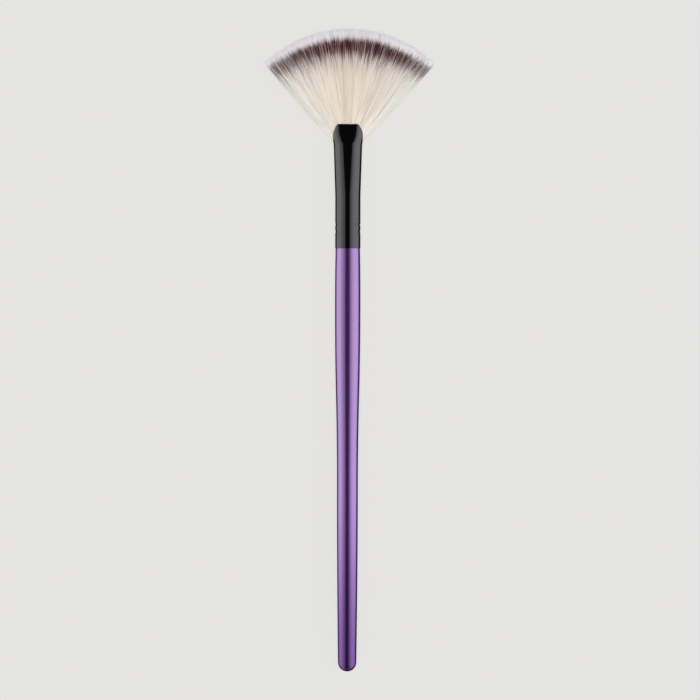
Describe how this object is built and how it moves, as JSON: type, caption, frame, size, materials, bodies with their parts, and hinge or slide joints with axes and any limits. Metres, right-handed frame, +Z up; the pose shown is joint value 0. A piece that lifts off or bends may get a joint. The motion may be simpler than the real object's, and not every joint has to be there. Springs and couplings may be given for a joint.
{
  "type": "fan makeup brush",
  "caption": "Fan-shaped cosmetic brush lying flat: slim turned lacquered handle, crimped metal ferrule pressed flat at the mouth, and soft hair spread into a wide fan.",
  "frame": {"origin": "on the surface that the brush lies on, under the middle of its length", "axes": "+Y along the brush towards the hair's tips, +Z up out of the flat side of the fan, +X across the fan"},
  "size_m": [0.05, 0.19, 0.0075],
  "materials": {
    "handle_lacquer": "metallic purple lacquer over turned wood, glossy",
    "ferrule_metal": "black nickel plate over drawn brass, polished",
    "set_glue": "clear amber epoxy",
    "brush_hair": "fine synthetic hair, cream with a brown band and pale tips"
  },
  "bodies": {
    "root": {"handle": "handle_lacquer", "ferrule": "ferrule_metal", "glue_plug": "set_glue", "bristle_tuft": "brush_hair"}
  },
  "joints": []
}
